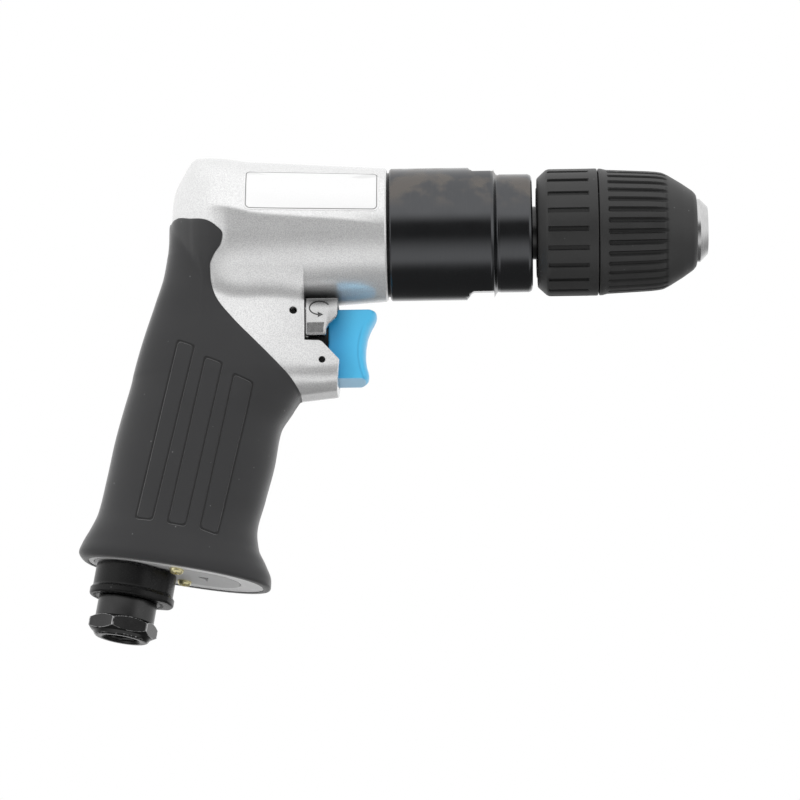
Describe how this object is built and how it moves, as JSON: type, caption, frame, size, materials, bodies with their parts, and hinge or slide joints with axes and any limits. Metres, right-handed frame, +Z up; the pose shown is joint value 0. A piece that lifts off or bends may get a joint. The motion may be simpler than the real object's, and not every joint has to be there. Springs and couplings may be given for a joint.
{
  "type": "air drill",
  "caption": "Pistol-grip reversible air drill with a keyless chuck, planetary gear case, rubber grip, trigger, reverse lever and threaded air inlet.",
  "frame": {"origin": "middle of the chuck nose face, on the spindle axis", "axes": "+X along the spindle toward the bit, +Z up, Y across the handle"},
  "size_m": [0.2096, 0.0488, 0.1638],
  "materials": {
    "silver": "satin cast",
    "rubber": "matte moulded",
    "label": "printed film, bare",
    "black_steel": "black oxide",
    "steel": "ground",
    "dark_steel": "hardened",
    "sleeve": "moulded",
    "blue": "moulded",
    "black_plastic": "moulded",
    "brass": "turned",
    "felt": "pressed"
  },
  "bodies": {
    "housing": {"housing": "silver", "grip_sleeve": "rubber", "label_plate": "label", "gear_case": "black_steel", "case_gasket": "rubber", "ring_gear": "steel", "bearing_spacer": "steel", "bearing_retaining_ring": "dark_steel", "cylinder_liner": "steel", "front_end_plate": "silver", "rear_end_plate": "silver", "dowel_pin": "dark_steel", "rear_rotor_bearing_outer": "steel", "front_rotor_bearing_outer": "steel", "rear_spindle_bearing_outer": "steel", "front_spindle_bearing_outer": "steel", "throttle_seat": "brass", "throttle_spring": "steel", "lever_pin": "dark_steel", "trigger_pin": "dark_steel", "inlet_bushing": "dark_steel", "inlet_screen": "steel", "inlet_seal": "rubber", "base_plate": "silver", "base_plate_screws": "brass", "muffler": "felt"},
    "regulator": {"regulator_ring": "black_plastic"},
    "trigger": {"trigger": "blue", "trigger_guide": "black_plastic", "trigger_stem": "steel", "throttle_valve": "rubber"},
    "reverse": {"reverse_lever": "steel", "reverse_valve": "brass"},
    "rotor": {"rotor": "dark_steel", "rotor_vanes": "felt", "sun_pinion": "steel", "rear_rotor_bearing_inner": "steel", "rear_rotor_bearing_balls": "steel", "front_rotor_bearing_inner": "steel", "front_rotor_bearing_balls": "steel"},
    "spindle": {"spindle": "dark_steel", "planet_pins": "steel", "carrier_rear_plate": "dark_steel", "rear_spindle_bearing_inner": "steel", "rear_spindle_bearing_balls": "steel", "front_spindle_bearing_inner": "steel", "front_spindle_bearing_balls": "steel", "chuck_body": "steel", "chuck_rear_sleeve": "sleeve", "chuck_screw": "dark_steel", "thrust_race": "steel", "thrust_balls": "steel"},
    "planet_1": {"planet_gear_1": "steel"},
    "planet_2": {"planet_gear_2": "steel"},
    "planet_3": {"planet_gear_3": "steel"},
    "chuck_sleeve": {"chuck_front_sleeve": "sleeve", "chuck_nut": "dark_steel"},
    "jaw_1": {"jaw_1": "steel"},
    "jaw_2": {"jaw_2": "steel"},
    "jaw_3": {"jaw_3": "steel"}
  },
  "joints": [
    {"name": "trigger_pull", "type": "slide", "parent": "housing", "child": "trigger", "axis": [-1, 0, 0], "range_m": [0, 0.0045], "stiffness_N_per_m": 1500, "springref_m": -0.004, "deforming": ["throttle_spring"]},
    {"name": "reverse_turn", "type": "hinge", "parent": "housing", "child": "reverse", "pos_m": [-0.13, 0, -0.038], "axis": [1, 0, 0], "range_deg": [-10, 10]},
    {"name": "regulator_turn", "type": "hinge", "parent": "housing", "child": "regulator", "pos_m": [-0.1916, 0, -0.11294], "axis": [0.1736, 0, 0.9848], "range_deg": [-60, 60]},
    {"name": "spindle_spin", "type": "hinge", "parent": "housing", "child": "spindle", "pos_m": [-0.07, 0, 0], "axis": [1, 0, 0], "continuous": true},
    {"name": "rotor_spin", "type": "hinge", "parent": "housing", "child": "rotor", "pos_m": [-0.14, 0, 0], "axis": [1, 0, 0], "continuous": true},
    {"name": "planet_1_spin", "type": "hinge", "parent": "spindle", "child": "planet_1", "pos_m": [-0.108, 0, 0.0096], "axis": [1, 0, 0], "continuous": true},
    {"name": "planet_2_spin", "type": "hinge", "parent": "spindle", "child": "planet_2", "pos_m": [-0.108, -0.00831, -0.0048], "axis": [1, 0, 0], "continuous": true},
    {"name": "planet_3_spin", "type": "hinge", "parent": "spindle", "child": "planet_3", "pos_m": [-0.108, 0.00831, -0.0048], "axis": [1, 0, 0], "continuous": true},
    {"name": "chuck_sleeve_turn", "type": "hinge", "parent": "spindle", "child": "chuck_sleeve", "pos_m": [-0.02, 0, 0], "axis": [-1, 0, 0], "range_deg": [0, 2520]},
    {"name": "jaw_1_slide", "type": "slide", "parent": "spindle", "child": "jaw_1", "axis": [0.9659, 0, -0.2588], "range_m": [0, 0.0185]},
    {"name": "jaw_2_slide", "type": "slide", "parent": "spindle", "child": "jaw_2", "axis": [0.9659, 0.2241, 0.1294], "range_m": [0, 0.0185]},
    {"name": "jaw_3_slide", "type": "slide", "parent": "spindle", "child": "jaw_3", "axis": [0.9659, -0.2241, 0.1294], "range_m": [0, 0.0185]}
  ],
  "couplings": [
    {"joint": "rotor_spin", "follows": "spindle_spin", "ratio": 5.3333},
    {"joint": "planet_1_spin", "follows": "spindle_spin", "ratio": -2.6},
    {"joint": "planet_2_spin", "follows": "spindle_spin", "ratio": -2.6},
    {"joint": "planet_3_spin", "follows": "spindle_spin", "ratio": -2.6},
    {"joint": "jaw_1_slide", "follows": "chuck_sleeve_turn", "m_per_rad": 0.00042},
    {"joint": "jaw_2_slide", "follows": "chuck_sleeve_turn", "m_per_rad": 0.00042},
    {"joint": "jaw_3_slide", "follows": "chuck_sleeve_turn", "m_per_rad": 0.00042}
  ]
}
